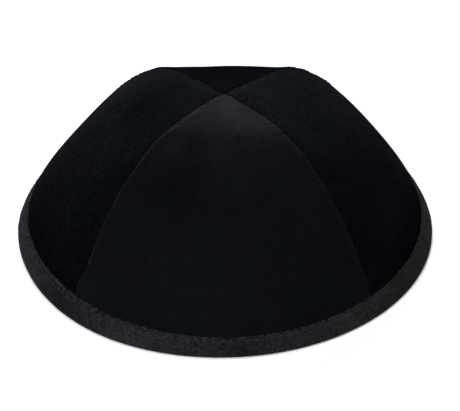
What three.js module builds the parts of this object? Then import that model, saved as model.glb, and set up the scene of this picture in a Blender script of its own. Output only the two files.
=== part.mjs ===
// A skullcap of four velvet panels, sewn together along four seams that cross at the top,
// with a folded suede band bound round its rim.
//
// Units are millimetres and +Z is up. The origin is the middle of the rim's resting plane, and
// the front panel faces -Y. The crown is an open shell: its hollow opens downwards.

import * as THREE from "three";

// Driving sizes.
const RIM_DIAMETER = 171; // across the band's outer lower corners, which its turns round off
const CROWN_HEIGHT = 66; // from the resting plane to the top, where the seams cross
const PANEL_THICKNESS = 1.6; // velvet with its backing
const BAND_WIDTH = 9; // of the band's outer face, up the slope of the crown
const BAND_HEM = 8; // of the band's inner face, up the same slope
const BAND_THICKNESS = 1; // of the suede, on each side of the panels
const BAND_LEAN = 24; // degrees that the band leans in from upright
const FOLD_RADIUS = 0.8; // of the suede's turn at the rim's two lower corners
const SEAM_ROLL_WIDTH = 1.6; // how far from a seam a panel's face starts to turn down into it
const SEAM_ROLL_DEPTH = 0.6; // how far it has turned down at the seam
const SEAM_GAP = 0.3; // between two panels
const BAND_GAP = 0.3; // between the panels and the band, on each side

// The four panels, each with the direction it faces as a turn about +Z from +X, in degrees.
const PANELS = [
  { name: "front_panel", faces: -90 },
  { name: "right_panel", faces: 0 },
  { name: "back_panel", faces: 90 },
  { name: "left_panel", faces: 180 },
];

// Level sections of the crown, from the top down to the band's upper edge.
// height: share of the way from the band's edge up to the crown's top.
// seam: the seams' distance from the axis, as a share of that distance at the band's edge.
// roundness: 0 where a panel runs straight from seam to seam, so that the section is a square,
// and 1 where the panels make one circle about the axis.
const SECTIONS = [
  { height: 1.0, seam: 0.0, roundness: 0.03 },
  { height: 0.985, seam: 0.203, roundness: 0.06 },
  { height: 0.94, seam: 0.41, roundness: 0.14 },
  { height: 0.86, seam: 0.53, roundness: 0.22 },
  { height: 0.73, seam: 0.65, roundness: 0.5 },
  { height: 0.55, seam: 0.784, roundness: 0.69 },
  { height: 0.345, seam: 0.885, roundness: 0.84 },
  { height: 0.165, seam: 0.965, roundness: 0.93 },
  { height: 0.075, seam: 0.993, roundness: 0.97 },
  { height: 0.0, seam: 1.0, roundness: 1.0 },
];

// Mesh steps.
const LEVEL_STEPS = 22; // down a panel, from the top to the band's edge
const ACROSS_STEPS = 16; // across a panel, from seam to seam
const FOLD_STEPS = 3; // round each turn of the suede
const SLOPE_STEP = 0.02; // share of a panel's half width, over which its slope across is measured

const SEAM_ANGLE = Math.PI / PANELS.length; // from a panel's middle to its seam
const UP = new THREE.Vector3(0, 0, 1);

const velvet = new THREE.MeshStandardMaterial({ color: 0x0c0d11, roughness: 0.95, metalness: 0 });
const suede = new THREE.MeshStandardMaterial({ color: 0x29262b, roughness: 0.9, metalness: 0 });

// The band's slope, as directions in a plane through the axis: x is away from the axis, y is up.
const lean = THREE.MathUtils.degToRad(BAND_LEAN);
const upSlope = new THREE.Vector2(-Math.sin(lean), Math.cos(lean));
const outOfSlope = new THREE.Vector2(Math.cos(lean), Math.sin(lean));
const rimCorner = new THREE.Vector2(RIM_DIAMETER / 2, 0);

// The point that lies deep below the band's outer face and rise up its slope from the rim's corner.
function onSlope(deep, rise) {
  return rimCorner.clone().addScaledVector(outOfSlope, -deep).addScaledVector(upSlope, rise);
}

// The same, where that line below the face reaches the height z.
function onSlopeAtHeight(deep, z) {
  const start = onSlope(deep, 0);
  return start.addScaledVector(upSlope, (z - start.y) / upSlope.y);
}

// Depths of the layers below the band's outer face.
const panelFace = BAND_THICKNESS + BAND_GAP;
const panelBack = panelFace + PANEL_THICKNESS;
const hemFace = panelBack + BAND_GAP;
const hemBack = hemFace + BAND_THICKNESS;

// The crown's levels, each with its seam's distance from the axis, its height and its roundness.
function crownLevels() {
  const edge = onSlope(panelFace, BAND_WIDTH);
  const rows = SECTIONS.map(
    ({ height, seam, roundness }) =>
      new THREE.Vector3(seam * edge.x, THREE.MathUtils.lerp(edge.y, CROWN_HEIGHT, height), roundness),
  );
  const curve = new THREE.CatmullRomCurve3(rows);
  const levels = curve.getSpacedPoints(LEVEL_STEPS);
  // Inside the band the panels run straight on, and their cut edge stops clear of the fold.
  const cutHeight = BAND_THICKNESS + BAND_GAP + PANEL_THICKNESS * outOfSlope.y;
  const cut = onSlopeAtHeight(panelFace, cutHeight);
  levels.push(new THREE.Vector3(cut.x, cut.y, 1));
  return levels.map((level) => ({ seam: level.x, height: level.y, roundness: level.z }));
}

// A point of a panel that faces +X. share is -1 at one seam and 1 at the other.
function panelPoint(level, share) {
  const halfChord = level.seam * Math.sin(SEAM_ANGLE);
  const chordDistance = level.seam * Math.cos(SEAM_ANGLE);
  const halfTurn = level.roundness * SEAM_ANGLE;
  const radius = halfChord / Math.sin(halfTurn);
  return new THREE.Vector3(
    chordDistance + radius * (Math.cos(halfTurn * share) - Math.cos(halfTurn)),
    radius * Math.sin(halfTurn * share),
    level.height,
  );
}

// How far from the seam the face turns down at a level: less near the top, where the panel is narrow.
function rollWidth(level) {
  const halfWidth = level.seam * Math.sin(SEAM_ANGLE);
  return Math.min(SEAM_ROLL_WIDTH, (halfWidth * 2) / ACROSS_STEPS);
}

// The shares at which a level is sampled: the two seams, and even steps between the two rolls.
function acrossShares(level) {
  const flat = 1 - rollWidth(level) / (level.seam * Math.sin(SEAM_ANGLE));
  const shares = [-1];
  for (let k = 1; k < ACROSS_STEPS; k++) {
    shares.push(THREE.MathUtils.mapLinear(k, 1, ACROSS_STEPS - 1, -flat, flat));
  }
  return [...shares, 1];
}

// The panel's outward direction at a point of its face, from the face's two slopes there.
function outward(levels, row, share) {
  if (row === 0) return UP.clone();
  const above = levels[row - 1];
  const below = levels[Math.min(row + 1, levels.length - 1)];
  const along = panelPoint(below, share).sub(panelPoint(above, share));
  const across = panelPoint(levels[row], share + SLOPE_STEP).sub(
    panelPoint(levels[row], share - SLOPE_STEP),
  );
  return along.cross(across).normalize();
}

// Moves a point inwards by a depth below the face, and keeps it in its own plane through the axis,
// so that a point on a seam stays on the seam's plane.
function inwards(point, normal, depth) {
  const radial = new THREE.Vector3(point.x, point.y, 0).normalize();
  const inPlane = radial.multiplyScalar(normal.dot(radial)).addScaledVector(UP, normal.z);
  return point.clone().addScaledVector(inPlane, -depth / inPlane.lengthSq());
}

// One closed body between a panel's face and its back, with its cut edges at the seams and the rim.
function panelGeometry() {
  const levels = crownLevels();
  const last = levels.length - 1;
  const positions = [];
  const place = (point) => positions.push(...point.toArray()) / 3 - 1;

  // Vertex numbers of the face and the back, by level and then across. The top is one point.
  const face = [];
  const back = [];
  levels.forEach((level, row) => {
    const shares = row === 0 ? [0] : acrossShares(level);
    const rollDepth = (SEAM_ROLL_DEPTH * rollWidth(level)) / SEAM_ROLL_WIDTH;
    face[row] = [];
    back[row] = [];
    for (const share of shares) {
      const point = panelPoint(level, share);
      const normal = outward(levels, row, share);
      face[row].push(place(inwards(point, normal, Math.abs(share) === 1 ? rollDepth : 0)));
      back[row].push(place(inwards(point, normal, PANEL_THICKNESS)));
    }
  });

  const faces = [];
  const quad = (a, b, c, d) => faces.push(a, b, c, a, c, d);
  for (let k = 0; k < ACROSS_STEPS; k++) {
    faces.push(face[0][0], face[1][k], face[1][k + 1]);
    faces.push(back[0][0], back[1][k + 1], back[1][k]);
    for (let row = 1; row < last; row++) {
      quad(face[row][k], face[row + 1][k], face[row + 1][k + 1], face[row][k + 1]);
      quad(back[row][k], back[row][k + 1], back[row + 1][k + 1], back[row + 1][k]);
    }
    quad(face[last][k], back[last][k], back[last][k + 1], face[last][k + 1]);
  }
  for (let row = 0; row < last; row++) {
    quad(face[row][0], back[row][0], back[row + 1][0], face[row + 1][0]);
    quad(face[row].at(-1), face[row + 1].at(-1), back[row + 1].at(-1), back[row].at(-1));
  }

  const geometry = new THREE.BufferGeometry();
  geometry.setAttribute("position", new THREE.Float32BufferAttribute(positions, 3));
  geometry.setIndex(faces);
  geometry.computeVertexNormals();
  return geometry;
}

// The suede's section: up its outer face, down into the channel that holds the panels, and back
// down the hem inside, with a flat foot and a turn at each of its lower corners.
function bandGeometry() {
  const foot = { outside: onSlopeAtHeight(0, 0), inside: onSlopeAtHeight(hemBack, 0) };
  const channel = {
    outside: onSlopeAtHeight(BAND_THICKNESS, BAND_THICKNESS),
    inside: onSlopeAtHeight(hemFace, BAND_THICKNESS),
  };
  const outsideTurn = new THREE.QuadraticBezierCurve(
    new THREE.Vector2(foot.outside.x - FOLD_RADIUS, 0),
    foot.outside,
    onSlopeAtHeight(0, FOLD_RADIUS),
  );
  const insideTurn = new THREE.QuadraticBezierCurve(
    onSlopeAtHeight(hemBack, FOLD_RADIUS),
    foot.inside,
    new THREE.Vector2(foot.inside.x + FOLD_RADIUS, 0),
  );
  const section = [
    ...outsideTurn.getPoints(FOLD_STEPS),
    onSlope(0, BAND_WIDTH),
    onSlope(BAND_THICKNESS, BAND_WIDTH),
    channel.outside,
    channel.inside,
    onSlope(hemFace, BAND_HEM),
    onSlope(hemBack, BAND_HEM),
    ...insideTurn.getPoints(FOLD_STEPS),
  ];
  section.push(section[0].clone());
  return new THREE.LatheGeometry(section, PANELS.length * ACROSS_STEPS).rotateX(Math.PI / 2);
}

const cap = new THREE.Group();

const panel = panelGeometry();
for (const { name, faces } of PANELS) {
  const mesh = new THREE.Mesh(panel, velvet);
  mesh.name = name;
  // Moving each panel out along its own middle opens the same gap all along its seams.
  mesh.position.x = SEAM_GAP / 2 / Math.sin(SEAM_ANGLE);
  const turned = new THREE.Group();
  turned.rotation.z = THREE.MathUtils.degToRad(faces);
  turned.add(mesh);
  cap.add(turned);
}

const band = new THREE.Mesh(bandGeometry(), suede);
band.name = "rim_band";
cap.add(band);

export default cap;
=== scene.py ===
"""A skullcap of four black velvet panels with a folded suede band round its rim.

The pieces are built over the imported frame: metres, +Z up, the origin in the middle of the rim's
resting plane, and the front panel towards -Y.
"""

import math

import bpy
import numpy as np
from mathutils import Matrix, Vector, noise

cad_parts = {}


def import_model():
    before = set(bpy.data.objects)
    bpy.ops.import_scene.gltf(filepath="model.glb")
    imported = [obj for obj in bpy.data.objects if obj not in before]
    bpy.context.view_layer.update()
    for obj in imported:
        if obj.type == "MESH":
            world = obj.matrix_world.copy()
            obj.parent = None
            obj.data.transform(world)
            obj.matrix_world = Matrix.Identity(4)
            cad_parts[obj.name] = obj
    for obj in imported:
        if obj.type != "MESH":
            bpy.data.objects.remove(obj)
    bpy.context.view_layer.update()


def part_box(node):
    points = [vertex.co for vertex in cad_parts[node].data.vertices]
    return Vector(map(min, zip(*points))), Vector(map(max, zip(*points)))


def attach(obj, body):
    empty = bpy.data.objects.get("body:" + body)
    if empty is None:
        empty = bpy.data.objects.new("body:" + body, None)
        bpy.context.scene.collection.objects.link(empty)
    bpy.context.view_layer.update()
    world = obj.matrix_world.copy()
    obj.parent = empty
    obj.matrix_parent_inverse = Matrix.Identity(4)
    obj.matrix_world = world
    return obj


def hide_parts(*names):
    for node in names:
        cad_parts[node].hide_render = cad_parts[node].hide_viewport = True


MM = 0.001
TINY = 1e-9

# The camera, as fitted to the photograph's outline and seams. Lengths in metres, angles in degrees.
PHOTO_WIDTH = 460  # pixels
CAMERA_ELEVATION = 36.1
CAMERA_DISTANCE = 1.02
CAMERA_ROLL = 0.81  # the object's right side stands higher in the picture
CAMERA_FOCAL = 2466.7  # pixels
CAMERA_SENSOR = 36.0  # mm
ORIGIN_LEFT_OF_CENTRE = 5.0  # pixels
ORIGIN_BELOW_CENTRE = 22.3  # pixels

# The crown.
PANEL_FACES = {"front": -90, "right": 0, "back": 90, "left": 180}  # turn about +Z from +X, degrees
PROUD_PANELS = ("front", "back")  # the seam allowances are pressed under these
PANEL_THICKNESS = 1.6 * MM
PILE_HEIGHT = 0.45 * MM  # how far the velvet's pile stands off the cloth
SEAM_ROLL = 0.5 * MM  # radius of a panel's edge where it turns down into a seam
SEAM_ROLL_LIMIT = 0.45  # the same near the top, as a share of the panel's half width
SEAM_EDGE_DEPTH = 4  # of that radius: how thick the panels are at most near the top
SEAM_PROUD = 0.32 * MM  # how far the seam allowances lift a proud panel's edge
SEAM_SHY = 0.4  # how far the other panels' edges sink, as a share of that
SEAM_PROUD_REACH = 4.5 * MM
SEAM_WOBBLE = 0.3 * MM  # how far a seam strays to either side
SEAM_WOBBLE_REACH = 9 * MM
SEAM_WOBBLE_LENGTH = 22 * MM
SEAM_JAG = 1.05 * MM  # the same over a stitch or two
SEAM_JAG_LENGTH = 1.5 * MM
SEAM_JAG_REACH = 3 * MM
SEAM_JAG_TOP = 62 * MM  # the height at which it ends
SEAM_JAG_FADE = 10 * MM  # how far below that it begins to fade
SEAMS_APART = 9  # steps in the noise from seam to seam, so that no two stray alike
# How far each seam, named by its turn from +X in degrees, is out of place at the heights given
# first, all in millimetres. A minus is clockwise, seen from above.
SEAM_STRAY_HEIGHTS = (8, 20, 28, 38, 50, 58, 62.5, 65)
SEAM_STRAYS = {
    135: (0, 0, 0, 0, -0.4, -0.4, -0.3, 0),
    225: (-2.0, -1.3, -0.5, -1.3, -1.95, -1.65, -1.25, -0.45),
    315: (-0.85, -1.2, -1.85, -2.1, -1.2, -1.1, -1.15, -0.4),
}
SEAM_STRAY_REACH = 26 * MM  # round the crown to both sides
SEAMS_FIRM = 18 * MM  # from the axis: nearer to it the seams stray less
PUCKER_DEPTH = 0.4 * MM
PUCKER_REACH = 5 * MM
PUCKER_LENGTH = 7 * MM
PUCKER_DRAW = 0.6  # how fast puckers change away from the seam, as a share of how fast along it
SIDES_APART = 7.7  # steps in the noise from one side of a panel to the other
SEAM_STITCH = 3.1 * MM  # pitch of the hidden stitches that pull at a seam
SEAM_STITCH_DEPTH = 0.25 * MM
SEAM_STITCH_REACH = 1.3 * MM
SEAM_TUFTS = 0.22 * MM  # unevenness of the pile along a seam
SEAM_TUFT_LENGTH = 1.2 * MM
SLACK_DEPTH = 0.45 * MM  # soft unevenness of the whole crown
SLACK_LENGTH = 42 * MM
SLACK_RISE = 21 * MM  # the height above the band over which it sets in
RIM_PRESS = 0.3 * MM  # how far the band presses the pile down at its edge
RIM_PRESS_REACH = 3.0 * MM
CROWN_LEAN = 1.2 * MM  # how far the crown's top lies towards +X
CROSSING_SHIFT = 0.75 * MM  # how far the seams' crossing lies back from there
CROSSING_REACH = 22 * MM
CROSSING_SINK = 0.45 * MM  # the dimple where the seams cross
CROSSING_SINK_REACH = 2.2 * MM
# Places where the cloth stands out or has sunk: middle (millimetres), reach and depth.
SOFT_PLACES = {
    "left_shoulder": ((-32, 12, 61), 23 * MM, 1.4 * MM),
    "top_middle": ((4, 24, 65), 14 * MM, -0.6 * MM),
}
CROWN_ROWS = 190  # from the top down to the band
ACROSS_COLUMNS = 110  # between the two rolled edges
ROLL_COLUMNS = 6  # round each rolled edge
BACKING_SKIP = 2  # the inner face has one row for so many of the outer face's
SECTION_STEPS = 60  # from each of the sections below to the next
STRAY_STEPS = 12  # from each height of the seams' strays to the next
SLOPE_STEP = 1e-3  # share of a panel's half width, over which its slope across is measured

# Level sections of the crown, from the top down to the band's upper edge: height as a share of the
# way up from the band's edge, the seams' distance from the axis as a share of that at the band's
# edge, and roundness, which is 0 for a square section and 1 for a circle.
SECTIONS = (
    (1.0, 0.0, 0.03),
    (0.985, 0.203, 0.06),
    (0.94, 0.41, 0.14),
    (0.86, 0.53, 0.22),
    (0.73, 0.65, 0.5),
    (0.55, 0.784, 0.69),
    (0.345, 0.885, 0.84),
    (0.165, 0.951, 0.965),
    (0.075, 0.981, 0.99),
    (0.0, 1.0, 1.0),
)

# The band.
BAND_LEAN = math.radians(24)
BAND_WIDTH = 9.0 * MM
BAND_HEM = 8.0 * MM
BAND_THICKNESS = 0.9 * MM
BAND_CHANNEL = 2.4 * MM  # between the outer face's inside and the hem's
BAND_PROUD = 0.3 * MM  # how far the outer face stands off the CAD band's
BAND_PUFF = 0.5 * MM  # how far the outer face rounds out
BAND_PUFF_LOW = 0.6  # a power: below 1 the roundest place lies below the middle
BAND_EDGE_SINK = 0.85 * MM  # how far the stitches have pressed the outer face's upper edge down
BAND_EDGE_REACH = 2.2 * MM
BAND_FOLD = 1.3 * MM  # how far up each face the round fold at the rim begins
FOLD_SQUARENESS = 4.0  # of the fold's section: 2 is an ellipse
BAND_LIP = 0.25 * MM  # radius of the cut upper edge
LIP_TURN = 0.45 * math.pi  # how far round the cut edge is seen
BAND_STEPS = 1200  # round the rim
LIP_STEPS = 5
FACE_STEPS = 28
FOLD_STEPS = 17
HEM_STEPS = 20
BAND_EDGE_RISE = 0.4 * MM  # how far the upper edge lies above the CAD band's, but for the dip
BAND_EDGE_DIP = 1.8 * MM  # the band is narrower at the front
BAND_EDGE_DIP_TURN = math.radians(-86)
BAND_EDGE_DIP_REACH = math.radians(40)
BAND_EDGE_FOLLOW = 0.6  # share of the band's width above which its face follows the edge
BAND_EDGE_WOBBLE = 0.22 * MM
BAND_EDGE_WOBBLE_LENGTH = 11 * MM
BAND_EDGE_FRAY = 0.3 * MM
BAND_EDGE_FRAY_LENGTH = 1.0 * MM
BAND_CREASE = 0.16 * MM
BAND_CREASE_LENGTH = 5 * MM
BAND_CREASE_DRAW = 0.7  # how fast creases change up the band, as a share of how fast round it
LIP_CREASE = 0.4  # share of the creases' depth at the cut edge
FOLD_CREASE = 0.3  # and at the fold, most where it begins and ends
BAND_JOIN_TURN = math.radians(90)  # where the suede's ends meet
BAND_JOIN_SLANT = 0.7  # millimetres round the rim for one up the band
BAND_JOIN_DEPTH = 0.4 * MM
BAND_JOIN_WIDTH = 0.5 * MM
STITCHES = 158
STITCH_LINE = BAND_WIDTH - 1.3 * MM  # up the slope
STITCH_LENGTH = 2.0 * MM
STITCH_RADIUS = 0.2 * MM
STITCH_PROUD = 0.7  # of its radius: how far its middle stands off the suede
STITCH_DIVE = 2.4  # of its radius: how far its ends lie below its middle
STITCH_SUNK = 1.9  # of its radius: how far a stitch may lie sunk in the suede
STITCH_TAPER = 0.35
STITCH_STEPS = 9
STITCH_SIDES = 6
STITCH_STRAY = 0.06  # of the pitch, round the rim
STITCH_LENGTHS = (0.9, 1.08)  # the shortest and the longest, as shares
STITCH_TILT = 0.2 * MM
STITCH_RISE = 0.15 * MM  # how far a stitch strays up or down
STITCH_GROOVE = 0.22 * MM
STITCH_GROOVE_WIDTH = 0.8 * MM
FIBRE_LENGTH = (0.3 * MM, 1.5 * MM)
FIBRE_RADIUS = 0.08 * MM
FIBRE_BEND = 0.55  # share of its length at which it bends
FIBRE_THIN = 0.8  # of its radius: how thick it is there
FIBRE_SIDES = (0, 2.1, 4.2)  # turns about the fibre, radians
FIBRE_ROOT = -0.05 * MM  # off the face
FIBRE_CLIMB = 0.8  # share of its length that goes up the slope
FIBRE_SAG = 0.07 * MM
EDGE_FIBRES = 9000  # along the cut edge
EDGE_FIBRE_REACH = 0.4 * MM  # how far below the edge they grow
EDGE_FIBRE_LIFT = (0.0, 0.5 * MM)
EDGE_FIBRE_STRAY = 0.5  # of its length, round the rim
FACE_FIBRES = 8000  # on the face below it
FACE_FIBRE_REACH = 3.0 * MM
FACE_FIBRE_FADE = 1.5  # a power: above 1 more of them grow near the edge
FACE_FIBRE_LIFT = (0.05 * MM, 0.3 * MM)
FACE_FIBRE_STRAY = 0.8
FACE_FIBRE_SIZE = 0.7  # of the length of those along the edge
FUZZY_TURN = math.radians(-140)  # where the edge is most frayed
FUZZY_REACH = 0.8  # radians to both sides
FUZZY_LENGTHS = (0.6, 1.4)  # of the fibres far from there and there, as shares
# The rim isn't quite round: how far it reaches out at some turns from +X, in degrees, and how far
# up the crown that is felt.
RIM_BULGES = {
    -128: (0.9 * MM, 36 * MM),
    -160: (-0.75 * MM, 18 * MM),
    165: (0.65 * MM, 40 * MM),
}
RIM_BULGE_REACH = 0.5  # radians to both sides
RIM_BULGE_STAY = 1.2  # above 1 a bulge stays whole for a while, before it fades up the crown
SEED = 11

# Spans of a noise: one that holds most of its values, and narrower ones for more contrast.
NOISE_SPAN = (0.3, 0.7)
FIRM_SPAN = (0.35, 0.65)
HARD_SPAN = (0.36, 0.64)

# The velvet's pile.
# How far the pile leans up along a panel that faces along X or Y, as a share of its height: near
# the band, on the shoulders and at the top.
LEANS = {"X": (0.985, 0.822, 0.645), "Y": (0.635, 0.79, 0.72)}
SHOULDER_RISE = {"X": (0.46, 0.82), "Y": (0.7, 0.93)}  # heights over which the lean changes, shares
SIDE_SLANTS = (0.03, 0.11)  # how far the left and right panels' pile also leans to the back
VELVET_SHEEN = 0.057
VELVET_SHEEN_ROUGHNESS = 0.35
VELVET_TEAL = (0.0024, 0.0033, 0.0046)
VELVET_PURPLE = (0.0031, 0.0027, 0.0045)
# Painted light and shade: the front and back panels' colour is painted lighter than the left and
# right panels', all of one cloth.
VELVET_PAINTED_TONE = {"X": 0.87, "Y": 1.26}
# How much more purple than teal the velvet is at a low place and at a high one.
VELVET_HUES = {
    "X": ((15 * MM, 0.2), (58 * MM, -0.16)),
    "Y": ((15 * MM, -0.06), (66 * MM, 0.04)),
}
HUE_SPAN = (0.38, 0.62)  # from teal to purple
HUE_SIZE = 12 * MM
HUE_SPECKLE_SIZE = 1.2 * MM
HUE_SPECKLE = 0.12
HUE_ASIDE = (60 * MM, 0.07)  # so far to the right it is so much more purple, and to the left less
FLECK_SIZE = 0.42 * MM
FLECK_GRAIN = (38, 2.0)  # how far its long way is turned, in degrees, and how long it is
SPECKLE_SIZE = 1.5 * MM
GRAIN_SIZE = 0.8 * MM
BRUSH_SIZE = 11 * MM
BRUSH_GRAIN = (-28, 1.7)
CRUSH_SIZE = 9 * MM
CRUSH_DEPTH = 0.3 * MM
TUFT_DEPTH = {"X": 0.18 * MM, "Y": 0.05 * MM}
TUFT_ROWS = 0.45  # how much the rows of pile add to the tufts' relief
FLECK_LEAN = {"X": 0.2, "Y": 0.15}  # how far the tufts lean more or less than the rest, a share
SPECKLE_LEAN = 0.5  # the same for the speckle, of the panel's grain
BRUSH_LEAN = 0.6  # and for the brushed patches, of its patchiness
SPECKLE_TONE = 1.5  # of its patchiness: how far the speckle is lighter or darker
ROW_TONE = (-0.35, 0.6)  # of its contrast: how much lighter the cloth is between the rows and on them
TOP_RISE = (0.93, 1.0)  # heights over which the lean goes from the shoulders' to the top's, shares
WEAVE_RISE = (0.7, 0.95)  # heights over which the rows of pile come out more, shares
WEAVE_LEAN = (0.2, 0.36)  # how far the rows lean more or less than the rest, below and above
SLANT_RISE = 30 * MM  # from the middle, to both sides
# Each panel's contrast of the tufts' colour, patchiness, grain and sheen tint. The sheen tints differ
# from panel to panel in hue and in brightness; the brightness is painted light and shade on panels of
# one cloth.
VELVETS = {
    "front": (0.3, 0.11, 0.02, (0.79, 0.77, 0.94)),
    "right": (1.3, 0.25, 0.24, (0.7, 0.79, 0.97)),
    "back": (0.6, 0.15, 0.05, (0.88, 0.80, 1.0)),
    "left": (0.9, 0.22, 0.1, (0.74, 0.81, 1.0)),
}
# Places where the pile is brushed differently, with light and shade painted into its colour there:
# middle (millimetres), reach, by what share it leans more, and by what share its tone is painted
# lighter, or darker below 0.
BRUSHED_AND_SHADED_PLACES = {
    "front": (
        ((2, -31, 58), 14 * MM, 0.06, 0.0),
        ((-4, -17, 64), 12 * MM, -0.25, 0.0),
        ((-12, -25, 62), 12 * MM, -0.1, -0.3),
        ((-19, -42, 51), 20 * MM, -0.1, -0.35),
        ((-4, -68, 25), 38 * MM, 0.0, 0.14),
    ),
    "left": (((-61, -24, 35), 25 * MM, -0.06, 0.42), ((-37, 4, 62), 17 * MM, -0.1, -0.4),
             ((-48, -8, 51), 24 * MM, 0.0, 0.5)),
    "right": (((66, -27, 30), 20 * MM, -0.05, 0.42), ((28, -15, 60), 20 * MM, -0.05, 0.45)),
}
WEAVE_PITCH = 0.85 * MM  # of the rows of pile
WEAVE_TURNS = (45, -45)  # degrees: they run both ways across the panels
WEAVE_STRAY = 1.6
ROW_SPAN = (0.0, 0.6)  # from between the rows to their crests
BACKING_PITCH = 0.9 * MM  # of the threads in the velvet's back
BACKING_WEAR_SIZE = 14 * MM
BACKING_FUZZ_SIZE = 0.7 * MM
BACKING_DEPTH = 0.1 * MM
BACKING_COLOURS = ((0.006, 0.006, 0.008), (0.013, 0.013, 0.016))

# The suede.
SUEDE_GREY = (0.0106, 0.0106, 0.0139)
SUEDE_WARM = (0.0132, 0.0107, 0.0124)
SUEDE_HUE_SIZE = 25 * MM
SUEDE_BRUSH_SIZE = 4 * MM
NAP_SIZE = 0.6 * MM
NAP_DEPTH = 0.27 * MM
NAP_UPRIGHT = 0.55  # how fast the nap changes up the band, as a share of how fast round it
# Thin dark lines along creases in the suede are painted crease shade; this is the size of their
# pattern.
SUEDE_CREASE_SHADE_SIZE = 4.5 * MM
SUEDE_DENT_SIZE = 2.2 * MM
SUEDE_DENT_DEPTH = 0.15 * MM
SUEDE_WARM_SIDE = 70 * MM  # how far to the right the suede is warmest
THREAD_TWIST_SIZE = 0.3 * MM
THREAD_COLOURS = ((0.015, 0.018, 0.022), (0.023, 0.027, 0.031))
# The thread is darkened towards the right with painted shade.
THREAD_SHADE_SIDE = 60 * MM  # how far to the right the thread is darkest
FUZZ_COLOURS = ((0.012, 0.0118, 0.0145), (0.024, 0.0235, 0.0285))
FUZZ_TUFT_SIZE = 1.5 * MM
# Places along the band with painted light and shade in the suede's colour: middle (millimetres),
# reach, and by what share its tone is painted lighter, or darker where that share is below 0.
SUEDE_SHADED_PLACES = (
    ((-66, -53, 5), 24 * MM, -0.48),
    ((-37, -76, 5), 15 * MM, 0.2),
    ((7, -85, 5), 15 * MM, -0.35),
    ((47, -71, 5), 18 * MM, 0.2),
    ((70, -48, 5), 14 * MM, -0.25),
)

# The studio. Each light: place in metres, width in metres, power in watts, colour.
FLOOR_COLOUR = 0.93
FLOOR_WIDTH = 8.0
LIGHT_AIM = (0, 0, 0.03)
LIGHTS = {
    "overhead": ((0.0, 0.0, 1.9), 1.4, 28, (1.0, 0.98, 1.0)),
    "back": ((0.0, 1.8, 0.6), 1.0, 47, (1.0, 0.98, 0.98)),
    "front": ((-0.3, -1.5, 0.9), 1.0, 13.5, (0.98, 1.0, 1.0)),
    "front_left": ((-1.0, -1.2, 0.9), 1.0, 13.5, (0.95, 1.0, 1.0)),
}


def smooth_step(value):
    """0 below 0, 1 above 1 and a soft rise between."""
    t = np.clip(value, 0.0, 1.0)
    return t * t * (3 - 2 * t)


def noise_at(points, length, seed):
    """Smooth noise between about -1 and 1, whose lumps are about one length across."""
    shift = Vector((seed * 17.3, seed * 5.9, seed * 11.1))
    return np.array([noise.noise(Vector(p) / length + shift) for p in points])


def slope_directions():
    """Out of the band's slope and up it, as (away from the axis, up)."""
    return (np.array([math.cos(BAND_LEAN), math.sin(BAND_LEAN)]),
            np.array([-math.sin(BAND_LEAN), math.cos(BAND_LEAN)]))


def new_mesh(name, points, faces, material, smooth=True):
    """A mesh object in the scene."""
    mesh = bpy.data.meshes.new(name)
    mesh.from_pydata([tuple(p) for p in points], [], [tuple(int(i) for i in f) for f in faces])
    mesh.materials.append(material)
    mesh.polygons.foreach_set("use_smooth", [smooth] * len(mesh.polygons))
    mesh.update()
    piece = bpy.data.objects.new(name, mesh)
    bpy.context.scene.collection.objects.link(piece)
    return piece


def grid_faces(rows, columns, closed=False):
    """Quads of a grid of rows by columns, whose last column joins the first if it is closed."""
    wide = columns if closed else columns - 1
    row, column = np.meshgrid(np.arange(rows - 1), np.arange(wide), indexing="ij")
    after = (column + 1) % columns
    corners = (row * columns + column, (row + 1) * columns + column,
               (row + 1) * columns + after, row * columns + after)
    return np.stack([c.ravel() for c in corners], axis=1)


# The crown's shape


def crown_levels(rim_radius, crown_height):
    """Rows of seam distance, height and roundness down the crown, at even steps, and on below the
    band's edge to where the panels are cut. Each row's way down from the top comes with them."""
    out, up = slope_directions()
    face = np.array([rim_radius, 0.0]) - BAND_THICKNESS * out
    edge = face + BAND_WIDTH * up
    cut = face + PANEL_THICKNESS * up
    knots = np.array([(seam * edge[0], edge[1] + height * (crown_height - edge[1]), roundness)
                      for height, seam, roundness in SECTIONS])
    points = np.vstack([through(knots, SECTION_STEPS), [cut[0], cut[1], 1.0]])
    steps = np.linalg.norm(np.diff(points[:, :2], axis=0), axis=1)
    length = np.concatenate([[0], np.cumsum(steps)])
    even = np.linspace(0, length[-1], CROWN_ROWS)
    return np.stack([np.interp(even, length, points[:, k]) for k in range(3)], axis=1), even


def through(knots, steps):
    """A smooth curve through the knots, with so many steps from each knot to the next."""
    spacing = np.linalg.norm(np.diff(knots[:, :2], axis=0), axis=1)
    at = np.concatenate([[0], np.cumsum(spacing)])
    slope = np.gradient(knots, at, axis=0)
    points = []
    for k in range(len(knots) - 1):
        t = np.linspace(0, 1, steps, endpoint=False)[:, None]
        run = at[k + 1] - at[k]
        points.append((2 * t**3 - 3 * t**2 + 1) * knots[k] + (t**3 - 2 * t**2 + t) * run * slope[k]
                      + (3 * t**2 - 2 * t**3) * knots[k + 1] + (t**3 - t**2) * run * slope[k + 1])
    return np.vstack(points + [knots[-1:]])


def section_points(levels, share):
    """Points of a panel that faces +X, for each level and each share from -1 to 1 across it, and
    each level's half width."""
    seam, height, roundness = (levels[:, k, None] for k in range(3))
    half_turn = roundness * math.pi / 4
    radius = seam * math.sin(math.pi / 4) / np.sin(half_turn)
    x = seam * math.cos(math.pi / 4) + radius * (np.cos(half_turn * share) - np.cos(half_turn))
    y = radius * np.sin(half_turn * share)
    return np.stack([x, y, np.broadcast_to(height, x.shape)], axis=2), radius * half_turn


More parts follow.
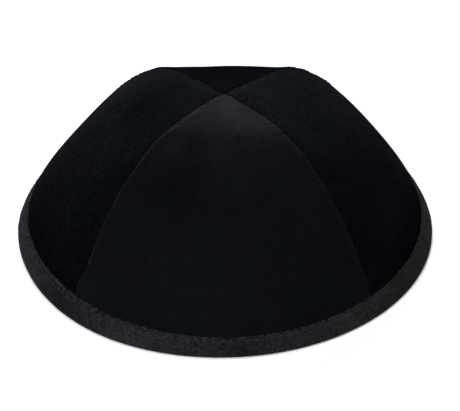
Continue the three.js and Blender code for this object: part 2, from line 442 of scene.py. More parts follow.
def panel_grid(levels):
    """Points, outward directions and distances to the seam over a panel that faces +X, each level's
    radius of the rolled edges, and the shares across."""
    _, half_width = section_points(levels, np.zeros((len(levels), 1)))
    roll = np.minimum(SEAM_ROLL, SEAM_ROLL_LIMIT * half_width)
    turns = np.linspace(0, math.pi / 2, ROLL_COLUMNS, endpoint=False)
    edge = roll * (1 - np.cos(turns))
    inner = roll + (half_width - roll) * np.linspace(0, 1, ACROSS_COLUMNS // 2)
    distance = np.concatenate([edge, inner], axis=1)
    share = 1 - distance / np.maximum(half_width, TINY)
    share = np.concatenate([-share, share[:, -2::-1]], axis=1)
    distance = np.concatenate([distance, distance[:, -2::-1]], axis=1)
    points, _ = section_points(levels, share)
    down = np.gradient(points, axis=0)
    one_way, _ = section_points(levels, share + SLOPE_STEP)
    other_way, _ = section_points(levels, share - SLOPE_STEP)
    outward = np.cross(down, one_way - other_way)
    outward[0] = (0, 0, 1)
    outward /= np.linalg.norm(outward, axis=2, keepdims=True)
    return points, outward, distance, roll, share


def seam_relief(distance, roll, along, share, proud, seed):
    """How far the face stands out near the seams: rolled edges, lifted edges and puckers."""
    inside = np.clip(roll - distance, 0, None)
    relief = np.sqrt(np.clip(roll**2 - inside**2, 0, None)) - roll
    near = np.exp(-((distance / SEAM_PROUD_REACH) ** 2))
    lifted = SEAM_PROUD if proud else -SEAM_SHY * SEAM_PROUD
    relief += lifted * near * smooth_step(roll / SEAM_ROLL)
    side = np.where(share < 0, 1.0, 2.0)
    where = np.stack([np.broadcast_to(along[:, None], distance.shape) / PUCKER_LENGTH,
                      side * SIDES_APART, distance / PUCKER_LENGTH * PUCKER_DRAW], axis=2)
    where = where.reshape(-1, 3)
    waves = noise_at(where, 1.0, seed).reshape(distance.shape)
    relief += PUCKER_DEPTH * waves * np.exp(-((distance / PUCKER_REACH) ** 2))
    pull = 0.5 + 0.5 * np.cos(2 * math.pi * along / SEAM_STITCH)[:, None]
    tufts = noise_at(where * PUCKER_LENGTH / SEAM_TUFT_LENGTH, 1.0, seed + 1)
    at_seam = SEAM_TUFTS * tufts.reshape(distance.shape) - SEAM_STITCH_DEPTH * pull
    return relief + at_seam * np.exp(-((distance / SEAM_STITCH_REACH) ** 2))


def out_of_round(points):
    """Moves points out or in a little where the rim isn't round, less further up the crown."""
    azimuth = np.arctan2(points[..., 1], points[..., 0])
    radius = np.hypot(points[..., 0], points[..., 1])
    reach = np.zeros_like(radius)
    for turn, (bulge, height) in RIM_BULGES.items():
        aside = np.angle(np.exp(1j * (azimuth - math.radians(turn))))
        share = np.exp(-((aside / RIM_BULGE_REACH) ** 2))
        reach += bulge * share * smooth_step(RIM_BULGE_STAY * (1 - points[..., 2] / height))
    scale = 1 + reach / np.maximum(radius, TINY)
    return points * np.stack([scale, scale, np.ones_like(scale)], axis=-1)


def drape(points):
    """The cloth's own unevenness: seams that stray a little, soft lumps over the whole crown, a top
    that lies aside and a rim that isn't round."""
    flat = points.reshape(-1, 3)
    radius = np.hypot(flat[:, 0], flat[:, 1])
    azimuth = np.arctan2(flat[:, 1], flat[:, 0])
    seam_azimuth = (np.floor(azimuth / (math.pi / 2)) + 0.5) * math.pi / 2
    aside = radius * np.sin(azimuth - seam_azimuth)
    along = np.hypot(radius, flat[:, 2])
    seam_x, seam_y = np.cos(seam_azimuth) * SEAMS_APART, np.sin(seam_azimuth) * SEAMS_APART
    wobble = noise_at(np.column_stack([seam_x, seam_y, along / SEAM_WOBBLE_LENGTH]), 1.0, SEED)
    stray = SEAM_WOBBLE * wobble * np.exp(-((aside / SEAM_WOBBLE_REACH) ** 2))
    jag = noise_at(np.column_stack([seam_x, seam_y, along / SEAM_JAG_LENGTH]), 1.0, SEED + 2)
    jag *= SEAM_JAG * smooth_step((SEAM_JAG_TOP - flat[:, 2]) / SEAM_JAG_FADE)
    stray += jag * np.exp(-((aside / SEAM_JAG_REACH) ** 2))
    for seam, distances in SEAM_STRAYS.items():
        curve = through(np.column_stack([SEAM_STRAY_HEIGHTS, distances]) * MM, STRAY_STEPS)
        far = np.angle(np.exp(1j * (azimuth - math.radians(seam)))) * radius
        stray += np.interp(flat[:, 2], *curve.T) * np.exp(-((far / SEAM_STRAY_REACH) ** 2))
    stray *= smooth_step(radius / SEAMS_FIRM)
    tangent = np.stack([-np.sin(azimuth), np.cos(azimuth), np.zeros_like(azimuth)], axis=1)
    lumps = SLACK_DEPTH * noise_at(flat, SLACK_LENGTH, SEED + 1)
    lumps *= smooth_step((flat[:, 2] - BAND_WIDTH) / SLACK_RISE)
    outward = flat / np.linalg.norm(flat, axis=1, keepdims=True)
    for place, reach, depth in SOFT_PLACES.values():
        far = np.linalg.norm(flat - np.array(place) * MM, axis=1)
        lumps += depth * np.exp(-((far / reach) ** 2))
    moved = flat + stray[:, None] * tangent + lumps[:, None] * outward
    moved[:, 0] += CROWN_LEAN * smooth_step(flat[:, 2] / flat[:, 2].max())
    moved[:, 0] -= CROSSING_SHIFT * np.exp(-((radius / CROSSING_REACH) ** 2))
    moved[:, 2] -= CROSSING_SINK * np.exp(-((radius / CROSSING_SINK_REACH) ** 2))
    return out_of_round(moved).reshape(points.shape)


def turned(points, degrees):
    """The points, turned about +Z."""
    c, s = math.cos(math.radians(degrees)), math.sin(math.radians(degrees))
    return points @ np.array([[c, s, 0], [-s, c, 0], [0, 0, 1]])


def facing(side):
    """The axis along which a panel faces."""
    return "X" if PANEL_FACES[side] % 180 == 0 else "Y"


def make_panel(side, levels, along, velvet, backing):
    """A panel's velvet face, with its edges turned down into the seams, and its inner face."""
    points, outward, distance, roll, share = panel_grid(levels)
    seed = SEED + list(PANEL_FACES).index(side) * 3
    relief = seam_relief(distance, roll, along, share, side in PROUD_PANELS, seed)
    edge_height = BAND_WIDTH * math.cos(BAND_LEAN)
    above = np.abs(levels[:, 1] - edge_height) / RIM_PRESS_REACH
    pressed = np.where(levels[:, 1] < edge_height, 1.0, np.exp(-(above**2)))
    face = points + outward * (PILE_HEIGHT + relief - RIM_PRESS * pressed[:, None])[:, :, None]
    depth = np.minimum(PANEL_THICKNESS, SEAM_EDGE_DEPTH * roll)
    low_edges = points[:, (0, -1)] - outward[:, (0, -1)] * depth[:, :, None]
    face = np.concatenate([low_edges[:, :1], face, low_edges[:, 1:]], axis=1)
    face = drape(turned(face, PANEL_FACES[side]))
    rows, columns = face.shape[:2]
    piece = new_mesh(f"velvet_{side}", face.reshape(-1, 3), grid_faces(rows, columns), velvet)
    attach(piece, "root")
    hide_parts(f"{side}_panel")

    inner = points - outward * depth[:, :, None]
    inner = drape(turned(inner[::BACKING_SKIP, ::BACKING_SKIP], PANEL_FACES[side]))
    rows, columns = inner.shape[:2]
    faces = grid_faces(rows, columns)[:, ::-1]
    lining = new_mesh(f"inside_{side}", inner.reshape(-1, 3), faces, backing)
    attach(lining, "root")


# The band


def stitch_groove(rise):
    """How far both faces are pulled in along the stitches, at a rise up the slope."""
    return STITCH_GROOVE * math.exp(-(((rise - STITCH_LINE) / STITCH_GROOVE_WIDTH) ** 2))


def outer_relief(rise):
    """How far the band's outer face stands off its slope: round, and pressed down at its edge."""
    share = min(1.0, max(0.0, rise) / BAND_WIDTH)
    puff = BAND_PUFF * math.sin(math.pi * share**BAND_PUFF_LOW)
    sunk = BAND_EDGE_SINK * float(smooth_step(1 - (BAND_WIDTH - rise) / BAND_EDGE_REACH))
    return BAND_PROUD + puff - sunk - stitch_groove(rise)


def follows_edge(rise):
    """How far the outer face follows its wavy upper edge: 0 well below it and 1 at the edge."""
    return float(smooth_step((rise / BAND_WIDTH - BAND_EDGE_FOLLOW) / (1 - BAND_EDGE_FOLLOW)))


def band_outline():
    """The suede's closed section. Each point is (away from the rim's corner, up, how far it follows
    the wavy upper edge, how far creases move it)."""
    out, up = slope_directions()
    whole = 2 * BAND_THICKNESS + BAND_CHANNEL
    hem_foot = whole * math.tan(BAND_LEAN)
    hem_edge = hem_foot + BAND_HEM
    outline = []

    def add(depth, rise, crease):
        away, height = -depth * out + rise * up
        outline.append((away, height, follows_edge(rise), crease))

    # The cut edge, the outer face, the fold, the hem and the channel between them.
    add(BAND_THICKNESS, BAND_WIDTH - BAND_LIP, 0)
    for turn in np.linspace(LIP_TURN, 0, LIP_STEPS):
        depth = BAND_LIP * (1 - math.cos(turn)) - outer_relief(BAND_WIDTH)
        add(depth, BAND_WIDTH - BAND_LIP * (1 - math.sin(turn)), LIP_CREASE)
    for rise in np.linspace(BAND_WIDTH - BAND_LIP, BAND_FOLD, FACE_STEPS)[1:]:
        add(-outer_relief(rise), rise, 1)
    start, end = np.array(outline[-1][:2]), -whole * out + (BAND_FOLD + hem_foot) * up
    middle, half = (start[0] + end[0]) / 2, (start[0] - end[0]) / 2
    for turn in np.linspace(0, math.pi, FOLD_STEPS)[1:-1]:
        flat = abs(math.cos(turn)) ** (2 / FOLD_SQUARENESS) * math.copysign(1, math.cos(turn))
        sunk = math.sin(turn) ** (2 / FOLD_SQUARENESS)
        top = start[1] if turn < math.pi / 2 else end[1]
        outline.append((middle + half * flat, top * (1 - sunk), 0, FOLD_CREASE * (1 - sunk)))
    for rise in np.linspace(BAND_FOLD + hem_foot, hem_edge, HEM_STEPS):
        add(whole - stitch_groove(rise), rise, -1)
    add(whole - BAND_THICKNESS / 2, hem_edge + BAND_LIP, 0)
    add(whole - BAND_THICKNESS, hem_edge, 0)
    add(whole - BAND_THICKNESS, BAND_FOLD + hem_foot, 0)
    add(BAND_THICKNESS, BAND_FOLD + BAND_THICKNESS, 0)
    return outline


def make_band(rim_radius, suede):
    """The suede, folded over the rim: an outer face with a thin soft edge, a foot and a hem."""
    turns = np.linspace(0, 2 * math.pi, BAND_STEPS, endpoint=False)
    ring = np.stack([np.cos(turns), np.sin(turns), np.zeros_like(turns)], axis=1)
    edge_wave = band_edge_wave(rim_radius, ring)
    out, up = slope_directions()
    rows = []
    for away, height, wave, crease in band_outline():
        where = ring * rim_radius + np.array([0, 0, height * BAND_CREASE_DRAW])
        from_join = (turns - BAND_JOIN_TURN) * rim_radius - BAND_JOIN_SLANT * height
        join = BAND_JOIN_DEPTH * np.exp(-((from_join / BAND_JOIN_WIDTH) ** 2))
        creased = BAND_CREASE * noise_at(where, BAND_CREASE_LENGTH, SEED + 6) - join
        creased *= crease
        radius = rim_radius + away + creased * out[0] + edge_wave * wave * up[0]
        lifted = height + creased * out[1] + edge_wave * wave * up[1]
        rows.append(np.column_stack([ring[:, 0] * radius, ring[:, 1] * radius, lifted]))
    rows.append(rows[0])
    faces = grid_faces(len(rows), BAND_STEPS, closed=True)
    count = (len(rows) - 1) * BAND_STEPS
    piece = new_mesh("suede_band", out_of_round(np.vstack(rows[:-1])), faces % count, suede)
    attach(piece, "root")
    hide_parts("rim_band")


def band_edge_wave(rim_radius, ring):
    """How far the band's upper edge strays up or down, at points of a unit ring."""
    rim = ring * rim_radius
    aside = np.angle(np.exp(1j * (np.arctan2(ring[:, 1], ring[:, 0]) - BAND_EDGE_DIP_TURN)))
    dip = BAND_EDGE_DIP * np.exp(-((aside / BAND_EDGE_DIP_REACH) ** 2))
    wobble = BAND_EDGE_WOBBLE * noise_at(rim, BAND_EDGE_WOBBLE_LENGTH, SEED + 5)
    fray = BAND_EDGE_FRAY * noise_at(rim, BAND_EDGE_FRAY_LENGTH, SEED + 7)
    return BAND_EDGE_RISE - dip + wobble + fray


def on_band(rim_radius, turn, rise, off, on_hem=False):
    """A point of the band's outer face, or of its hem inside, at a turn round the rim, a rise up the
    slope and a distance off the face."""
    out, up = slope_directions()
    ring = Vector((math.cos(turn), math.sin(turn), 0))
    wave = band_edge_wave(rim_radius, np.array([ring]))[0] * follows_edge(rise)
    whole = 2 * BAND_THICKNESS + BAND_CHANNEL
    aside = stitch_groove(rise) - whole - off if on_hem else outer_relief(rise) + off
    away, height = aside * out + (rise + wave) * up
    return Vector(out_of_round(np.array([*(ring.xy * (rim_radius + away)), height])))


def tube(path, radii, sides):
    """Points and faces of a round tube along a path, closed at both ends."""
    points, faces = [], []
    side_way = Vector((0, 0, 1))
    for k, centre in enumerate(path):
        ahead = (path[min(k + 1, len(path) - 1)] - path[max(k - 1, 0)]).normalized()
        first = ahead.cross(side_way).normalized()
        second = ahead.cross(first)
        for j in range(sides):
            a = 2 * math.pi * j / sides
            points.append(centre + (first * math.cos(a) + second * math.sin(a)) * radii[k])
    for k in range(len(path) - 1):
        for j in range(sides):
            n = (j + 1) % sides
            faces.append((k * sides + j, k * sides + n, (k + 1) * sides + n, (k + 1) * sides + j))
    faces.append(tuple(range(sides))[::-1])
    last = (len(path) - 1) * sides
    faces.append(tuple(last + j for j in range(sides)))
    return points, faces


def join_parts(parts):
    """One list of points and one of faces from many small shapes."""
    points, faces = [], []
    for part_points, part_faces in parts:
        start = len(points)
        points += part_points
        faces += [tuple(start + i for i in face) for face in part_faces]
    return points, faces


def make_stitches(rim_radius, thread):
    """The row of stitches near the band's upper edge, outside and on the hem."""
    rng = np.random.default_rng(SEED)
    pitch = 2 * math.pi / STITCHES
    parts = []
    for k in range(STITCHES):
        middle = (k + rng.uniform(-STITCH_STRAY, STITCH_STRAY)) * pitch
        half = STITCH_LENGTH / 2 * rng.uniform(*STITCH_LENGTHS) / rim_radius
        tilt = rng.uniform(-STITCH_TILT, STITCH_TILT)
        rise = STITCH_LINE + rng.uniform(-STITCH_RISE, STITCH_RISE)
        sunk = STITCH_RADIUS * STITCH_SUNK * rng.uniform(0, 1)
        path, inside, radii = [], [], []
        for t in np.linspace(-1, 1, STITCH_STEPS):
            turn = middle + t * half
            off = STITCH_RADIUS * (STITCH_PROUD - STITCH_DIVE * abs(t) ** 3)
            path.append(on_band(rim_radius, turn, rise + tilt * t, off - sunk))
            inside.append(on_band(rim_radius, turn, STITCH_LINE, off, on_hem=True))
            radii.append(STITCH_RADIUS * (1 - STITCH_TAPER * t * t))
        parts += [tube(path, radii, STITCH_SIDES), tube(inside, radii, STITCH_SIDES)]
    points, faces = join_parts(parts)
    piece = new_mesh("stitches", points, faces, thread)
    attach(piece, "root")


def fibre(root, tip, sag):
    """Points and faces of one thin hair, pointed at its tip."""
    bend = root.lerp(tip, FIBRE_BEND) + sag
    side = (tip - root).cross(Vector((0, 0, 1))).normalized()
    other = (tip - root).normalized().cross(side)
    corners = [(side * math.cos(a) + other * math.sin(a)) * FIBRE_RADIUS for a in FIBRE_SIDES]
    points = [root + c for c in corners] + [bend + c * FIBRE_THIN for c in corners] + [tip]
    faces = [(0, 1, 4, 3), (1, 2, 5, 4), (2, 0, 3, 5), (3, 4, 6), (4, 5, 6), (5, 3, 6)]
    return points, faces


def make_fibres(rim_radius, fuzz):
    """Short loose fibres along the suede's cut upper edge and on the face just below it."""
    rng = np.random.default_rng(SEED + 1)
    parts = []
    for k in range(EDGE_FIBRES + FACE_FIBRES):
        turn = rng.uniform(0, 2 * math.pi)
        on_edge = k < EDGE_FIBRES
        below = (EDGE_FIBRE_REACH * rng.uniform(0, 1) if on_edge
                 else FACE_FIBRE_REACH * rng.uniform(0, 1) ** FACE_FIBRE_FADE)
        reach = rng.uniform(*FIBRE_LENGTH) * (1.0 if on_edge else FACE_FIBRE_SIZE)
        from_fuzzy = math.remainder(turn - FUZZY_TURN, 2 * math.pi) / FUZZY_REACH
        reach *= np.interp(math.exp(-(from_fuzzy**2)), (0, 1), FUZZY_LENGTHS)
        lift = rng.uniform(*(EDGE_FIBRE_LIFT if on_edge else FACE_FIBRE_LIFT))
        stray = rng.normal(0, EDGE_FIBRE_STRAY if on_edge else FACE_FIBRE_STRAY) * reach / rim_radius
        rise = BAND_WIDTH - below
        root = on_band(rim_radius, turn, rise, FIBRE_ROOT)
        tip = on_band(rim_radius, turn + stray, rise + reach * FIBRE_CLIMB, lift)
        parts.append(fibre(root, tip, Vector(rng.normal(0, FIBRE_SAG, 3))))
    points, faces = join_parts(parts)
    piece = new_mesh("suede_fuzz", points, faces, fuzz)
    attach(piece, "root")


# Materials


class Nodes:
    """Builds one node material."""

    def __init__(self, name):
        self.material = bpy.data.materials.new(name)
        self.material.use_nodes = True
        self.tree = self.material.node_tree
        self.shader = self.tree.nodes["Principled BSDF"]
        self.place = self.tree.nodes.new("ShaderNodeTexCoord").outputs["Object"]
        self.xyz = self.add("ShaderNodeSeparateXYZ", Vector=self.place).outputs

    def add(self, kind, **settings):
        """A node with the given properties and inputs. Inputs may be values or other outputs."""
        node = self.tree.nodes.new(kind)
        for key, value in settings.items():
            if hasattr(node, key):
                setattr(node, key, value)
                continue
            name = int(key[1:]) if key[0] == "_" else key.replace("_", " ")
            socket = node.inputs[name]
            if isinstance(value, bpy.types.NodeSocket):
                self.tree.links.new(value, socket)
            else:
                socket.default_value = value
        return node

    def noise(self, size, detail=2.0, rough=0.5, place=None, curl=0.0):
        """Noise whose lumps are about the given size across, from 0 to 1."""
        node = self.add("ShaderNodeTexNoise", Vector=place or self.place, Scale=1 / size,
                        Detail=detail, Roughness=rough, Distortion=curl)
        return node.outputs["Fac"]

    def on_panel(self, faces):
        """A place on a panel that faces along X or Y: across it, down it and no depth."""
        away = self.math("ABSOLUTE", self.xyz[faces], 0.0)
        down = self.math("SUBTRACT", away, self.xyz["Z"])
        across = self.xyz["Y" if faces == "X" else "X"]
        return self.add("ShaderNodeCombineXYZ", X=across, Y=down).outputs[0]

    def stretched(self, place, turn, stretch):
        """The place, turned by so many degrees, and stretched so that what is drawn at it is long."""
        return self.add("ShaderNodeMapping", Vector=place, Rotation=(0, 0, math.radians(turn)),
                        Scale=(1, 1 / stretch, 1)).outputs[0]

    def rows(self, place, pitch, stray):
        """Bands across the place's first axis, from 0 to 1, which stray a little."""
        full_turn = 2 * math.pi / 20  # of the wave texture at scale 1
        return self.add("ShaderNodeTexWave", Vector=place, Scale=full_turn / pitch, Distortion=stray,
                        Detail=2, Detail_Scale=1.5).outputs["Fac"]

    def math(self, operation, first, second):
        """One operation on two numbers or outputs."""
        return self.add("ShaderNodeMath", operation=operation, _0=first, _1=second).outputs[0]

    def total(self, first, *others):
        """The sum of numbers or outputs."""
        for other in others:
            first = self.math("ADD", first, other)
        return first

    def product(self, first, *others):
        """Numbers or outputs, all multiplied."""
        for other in others:
            first = self.math("MULTIPLY", first, other)
        return first

    def vector(self, operation, first, second):
        """One operation on two vectors or outputs."""
        return self.add("ShaderNodeVectorMath", operation=operation, _0=first, _1=second).outputs[0]

    def unit(self, vector):
        """The vector at length 1."""
        return self.add("ShaderNodeVectorMath", operation="NORMALIZE", _0=vector).outputs[0]

    def ramp(self, value, low, high, low_colour, high_colour):
        """A colour that goes from one to the other as the value goes from low to high."""
        node = self.add("ShaderNodeValToRGB", Fac=value)
        elements = node.color_ramp.elements
        elements[0].position, elements[0].color = low, (*low_colour, 1)
        elements[1].position, elements[1].color = high, (*high_colour, 1)
        return node.outputs["Color"]

    def spread(self, value, low, high, to_low, to_high):
        """The value, moved from one range to another and held inside it."""
        node = self.add("ShaderNodeMapRange", Value=value)
        node.inputs["From Min"].default_value = low
        node.inputs["From Max"].default_value = high
        node.inputs["To Min"].default_value = to_low
        node.inputs["To Max"].default_value = to_high
        return node.outputs["Result"]

    def around(self, value, span, change):
        """1, and so much less where the value is low in its span and more where it is high."""
        return self.spread(value, *span, 1 - change, 1 + change)

    def near(self, middle, reach, change):
        """1, and so much more (or less) near a place in millimetres."""
        away = self.add("ShaderNodeVectorMath", operation="DISTANCE", _0=self.place,
                        _1=[value * MM for value in middle]).outputs["Value"]
        node = self.add("ShaderNodeMapRange", interpolation_type="SMOOTHSTEP", Value=away)
        node.inputs["From Max"].default_value = reach
        node.inputs["To Min"].default_value = 1 + change
        node.inputs["To Max"].default_value = 1.0
        return node.outputs["Result"]

    def scaled(self, colour, factor):
        """A colour times a number."""
        return self.add("ShaderNodeVectorMath", operation="SCALE", _0=colour, Scale=factor).outputs[0]

    def bump(self, height, depth, normal=None):
        """A normal with the height's relief, so many metres deep."""
        node = self.add("ShaderNodeBump", Height=height, Distance=depth, Strength=1.0)
        if normal:
            self.tree.links.new(normal, node.inputs["Normal"])
        return node.outputs["Normal"]

    def link(self, output, socket):
        """Joins an output to a named socket of the shader."""
        self.tree.links.new(output, self.shader.inputs[socket])

    def set(self, **values):
        """Sets constants on the shader's own sockets."""
        for key, value in values.items():
            self.shader.inputs[key.replace("_", " ")].default_value = value


def pile_patterns(n, faces):
    """The patterns in the pile of a panel that faces along X or Y, each from 0 to 1."""
    place = n.on_panel(faces)
    one_way, other_way = (n.rows(n.stretched(place, turn, 1), WEAVE_PITCH, WEAVE_STRAY)
                          for turn in WEAVE_TURNS)
    return {
        "flecks": n.noise(FLECK_SIZE, 1, 0.5, n.stretched(place, *FLECK_GRAIN)),
        "speckle": n.noise(SPECKLE_SIZE, 2, 0.55),
        "rows": n.product(one_way, other_way),
        "brushed": n.noise(BRUSH_SIZE, 4, 0.62, n.stretched(place, *BRUSH_GRAIN), curl=0.6),
    }


def pile_colour(n, side, pile):
    """The velvet's colour: nearly black, between teal and purple, with the front and back panels
    painted lighter than the sides and painted light and shade at some places.
    """
    faces = facing(side)
    contrast, patchy, _, _ = VELVETS[side]
    between, on_row = (1 + share * contrast for share in ROW_TONE)
    places = BRUSHED_AND_SHADED_PLACES.get(side, ())
    # Random tufts, speckle, rows and brushed patches, times painted light and shade at some places
    # and the panels' painted tone.
    tone = n.product(
        n.around(pile["flecks"], HARD_SPAN, contrast),
        n.around(pile["speckle"], NOISE_SPAN, SPECKLE_TONE * patchy),
        n.spread(pile["rows"], *ROW_SPAN, between, on_row),
        n.around(pile["brushed"], NOISE_SPAN, patchy),
        *(n.near(middle, reach, lighter) for middle, reach, _, lighter in places),
        VELVET_PAINTED_TONE[faces],
    )
    (low_place, low_hue), (high_place, high_hue) = VELVET_HUES[faces]
    aside, more = HUE_ASIDE
    hue = n.total(
        n.noise(HUE_SIZE, 4, 0.6),
        n.spread(n.noise(HUE_SPECKLE_SIZE, 2), *NOISE_SPAN, -HUE_SPECKLE, HUE_SPECKLE),
        n.spread(n.xyz["X"], -aside, aside, -more, more),
        n.spread(n.xyz["Z"], low_place, high_place, low_hue, high_hue),
    )
    return n.scaled(n.ramp(hue, *HUE_SPAN, VELVET_TEAL, VELVET_PURPLE), tone)


def pile_lean(n, side, crown_height, pile):
    """Which way and how far the pile leans: up along its panel, more or less by height and place."""
    faces = facing(side)
    _, patchy, grain, _ = VELVETS[side]
    low, shoulder, top = LEANS[faces]

    def over(heights, below, above):
        """A value that goes from one to the other over two heights, as shares of the crown's."""
        start, end = (share * crown_height for share in heights)
        return n.spread(n.xyz["Z"], start, end, below, above)

    to_top = n.vector("SUBTRACT", (0, 0, crown_height), n.place)
    rise = n.unit(n.vector("MULTIPLY", to_top, (1, 0, 1) if faces == "X" else (0, 1, 1)))
    if faces == "X":
        slant = n.total(n.spread(n.xyz["X"], -SLANT_RISE, SLANT_RISE, *SIDE_SLANTS),
                        n.spread(n.noise(GRAIN_SIZE, 2, 0.6), *NOISE_SPAN, -grain, grain))
        rise = n.vector("ADD", rise, n.add("ShaderNodeCombineXYZ", Y=slant).outputs[0])
    weave = n.product(n.spread(pile["rows"], *ROW_SPAN, -0.5, 0.5), over(WEAVE_RISE, *WEAVE_LEAN))
    places = BRUSHED_AND_SHADED_PLACES.get(side, ())
    lean = n.product(
        over(SHOULDER_RISE[faces], low, shoulder),
        over(TOP_RISE, 1.0, top / shoulder),
        n.around(pile["flecks"], NOISE_SPAN, FLECK_LEAN[faces]),
        n.total(weave, 1.0),
        n.around(pile["brushed"], NOISE_SPAN, BRUSH_LEAN * patchy),
        n.around(pile["speckle"], FIRM_SPAN, SPECKLE_LEAN * grain),
        *(n.near(middle, reach, more) for middle, reach, more, _ in places),
    )
    return n.scaled(rise, lean)


def make_velvet(side, crown_height):
    """A panel's black velvet. The pile leans up along its panel, so that it looks light where it
    leans away from the eye and dark where it leans towards it."""
    n = Nodes(f"velvet_{side}")
    faces = facing(side)
    pile = pile_patterns(n, faces)
    n.link(pile_colour(n, side, pile), "Base Color")
    crushed = n.bump(n.noise(CRUSH_SIZE, 1), CRUSH_DEPTH)
    tufts = n.total(pile["flecks"], n.product(pile["rows"], TUFT_ROWS))
    tufts = n.bump(tufts, TUFT_DEPTH[faces], crushed)
    n.link(n.unit(n.vector("ADD", tufts, pile_lean(n, side, crown_height, pile))), "Normal")
    *_, sheen_tint = VELVETS[side]
    n.set(Roughness=0.9, Specular_IOR_Level=0.0, Sheen_Weight=VELVET_SHEEN,
          Sheen_Roughness=VELVET_SHEEN_ROUGHNESS, Sheen_Tint=(*sheen_tint, 1))
    return n.material


def make_backing(faces):
    """The plain black woven back of the velvet, for the panels that face along X or Y."""
    n = Nodes(f"velvet_backing_{faces}")
    place = n.on_panel(faces)
    weave = n.total(n.rows(place, BACKING_PITCH, 0.8),
                    n.rows(n.stretched(place, 90, 1), BACKING_PITCH, 0.8))
    wear = n.around(n.noise(BACKING_WEAR_SIZE, 3), NOISE_SPAN, 0.15)
    n.link(n.scaled(n.ramp(weave, 0.2, 1.6, *BACKING_COLOURS), wear), "Base Color")
    n.link(n.bump(n.total(weave, n.noise(BACKING_FUZZ_SIZE, 2)), BACKING_DEPTH), "Normal")
    n.set(Roughness=0.85, Specular_IOR_Level=0.15, Sheen_Weight=0.03, Sheen_Roughness=0.5)
    return n.material


def make_suede():
    """Dark grey suede with brushed patches, a short curly nap, thin dark lines of painted crease
    shade, and painted light and shade at places along the band.
    """
    n = Nodes("suede")
    hue = n.total(n.product(n.noise(SUEDE_HUE_SIZE, 2), 0.6),
                  n.spread(n.xyz["X"], 0.0, SUEDE_WARM_SIDE, 0.0, 0.5))
    colour = n.ramp(hue, 0.25, 0.75, SUEDE_GREY, SUEDE_WARM)
    brushed = n.spread(n.noise(SUEDE_BRUSH_SIZE, 4, 0.6), *NOISE_SPAN, 0.75, 1.3)
    upright = n.add("ShaderNodeMapping", Vector=n.place, Scale=(1, 1, NAP_UPRIGHT)).outputs[0]
    curls = n.noise(NAP_SIZE, 3, 0.6, upright, curl=1.0)
    nap = n.spread(curls, *HARD_SPAN, 0.38, 1.8)
    # Thin dark lines where the suede creases: painted crease shade.
    crease_shade_lines = n.noise(SUEDE_CREASE_SHADE_SIZE, 2, 0.6, curl=2.0)
    aside = n.math("ABSOLUTE", n.math("SUBTRACT", crease_shade_lines, 0.5), 0.0)
    crease = n.spread(aside, 0.0, 0.03, 0.5, 1.0)
    # Random brushed patches and nap, times painted crease shade and painted light and shade at places
    # along the band.
    tone = n.product(brushed, nap, crease, *(n.near(*place) for place in SUEDE_SHADED_PLACES))
    n.link(n.scaled(colour, tone), "Base Color")
    soft = n.bump(n.noise(SUEDE_DENT_SIZE, 3), SUEDE_DENT_DEPTH)
    n.link(n.bump(curls, NAP_DEPTH, soft), "Normal")
    n.set(Roughness=0.9, Specular_IOR_Level=0.0, Sheen_Weight=0.017, Sheen_Roughness=0.6,
          Sheen_Tint=(1.0, 0.97, 1.0, 1))
    return n.material


def make_thread():
    """Dark polyester thread, a little lighter than the suede, with painted shade that darkens it
    towards the right.
    """
    n = Nodes("thread")
    tone = n.product(n.spread(n.noise(THREAD_TWIST_SIZE, 2), *NOISE_SPAN, 0.8, 1.25),
                     n.spread(n.xyz["X"], 0.0, THREAD_SHADE_SIDE, 1.0, 0.75))
    n.link(n.scaled(n.ramp(tone, 0.5, 1.25, *THREAD_COLOURS), tone), "Base Color")
    n.set(Roughness=0.6, Specular_IOR_Level=0.1)
    return n.material


def make_fuzz():
    """The suede's loose fibres, a little lighter than the suede."""
    n = Nodes("suede_fuzz")
    tone = n.spread(n.noise(FUZZ_TUFT_SIZE, 2), *NOISE_SPAN, 0.4, 2.1)
    n.link(n.scaled(n.ramp(tone, 0.0, 1.0, *FUZZ_COLOURS), tone), "Base Color")
    n.set(Roughness=0.9, Specular_IOR_Level=0.0)
    return n.material


# The studio


def make_floor():
    """A plain pale floor."""
    n = Nodes("floor")
    n.set(Base_Color=(FLOOR_COLOUR, FLOOR_COLOUR, FLOOR_COLOUR, 1), Roughness=0.9,
          Specular_IOR_Level=0.0)
    half = FLOOR_WIDTH / 2
    corners = [(-half, -half, 0), (half, -half, 0), (half, half, 0), (-half, half, 0)]
    floor = new_mesh("floor", corners, [(0, 1, 2, 3)], n.material, smooth=False)


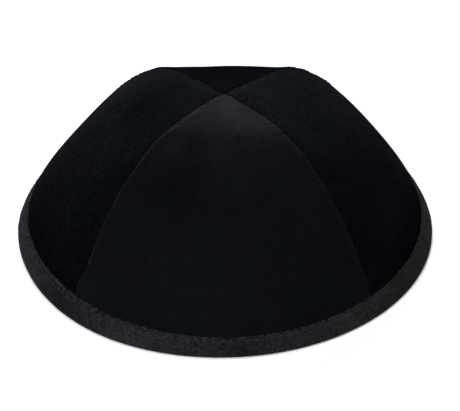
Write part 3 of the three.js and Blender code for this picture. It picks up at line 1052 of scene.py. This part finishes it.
def make_lights():
    """A dark room and a few large soft lights, each facing the crown's middle."""
    world = bpy.data.worlds.new("studio")
    world.use_nodes = True
    world.node_tree.nodes["Background"].inputs["Strength"].default_value = 0.0
    bpy.context.scene.world = world
    for name, (place, width, power, colour) in LIGHTS.items():
        light = bpy.data.lights.new(name, "AREA")
        light.size = width
        light.energy = power
        light.color = colour
        lamp = bpy.data.objects.new(name, light)
        lamp.location = place
        lamp.rotation_euler = (Vector(LIGHT_AIM) - Vector(place)).to_track_quat("-Z", "Y").to_euler()
        bpy.context.scene.collection.objects.link(lamp)
    bpy.context.scene.view_settings.view_transform = "Standard"


def make_camera():
    """The photograph's view: the camera looks at a point a little above and beside the origin."""
    elevation = math.radians(CAMERA_ELEVATION)
    roll = math.radians(CAMERA_ROLL)
    back = Vector((0, -math.cos(elevation), math.sin(elevation)))
    level_right = Vector((1, 0, 0))
    level_up = back.cross(level_right)
    right = level_right * math.cos(roll) - level_up * math.sin(roll)
    up = level_right * math.sin(roll) + level_up * math.cos(roll)
    metres_per_pixel = CAMERA_DISTANCE / CAMERA_FOCAL
    aim = (right * ORIGIN_LEFT_OF_CENTRE + up * ORIGIN_BELOW_CENTRE) * metres_per_pixel
    place = back * CAMERA_DISTANCE
    toward_back = (place - aim).normalized()
    toward_right = up.cross(toward_back).normalized()
    toward_up = toward_back.cross(toward_right)
    data = bpy.data.cameras.new("camera")
    data.lens = CAMERA_FOCAL / PHOTO_WIDTH * CAMERA_SENSOR
    data.sensor_width = CAMERA_SENSOR
    camera = bpy.data.objects.new("camera", data)
    axes = Matrix((toward_right, toward_up, toward_back)).transposed()
    camera.matrix_world = Matrix.Translation(place) @ axes.to_4x4()
    bpy.context.scene.collection.objects.link(camera)
    bpy.context.scene.camera = camera


def main():
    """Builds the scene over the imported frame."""
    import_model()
    rim_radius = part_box("rim_band")[1].x
    crown_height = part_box("front_panel")[1].z

    make_camera()
    make_lights()
    make_floor()

    levels, along = crown_levels(rim_radius, crown_height)
    backings = {faces: make_backing(faces) for faces in "XY"}
    for side in PANEL_FACES:
        make_panel(side, levels, along, make_velvet(side, crown_height), backings[facing(side)])
    make_band(rim_radius, make_suede())
    make_stitches(rim_radius, make_thread())
    make_fibres(rim_radius, make_fuzz())


main()
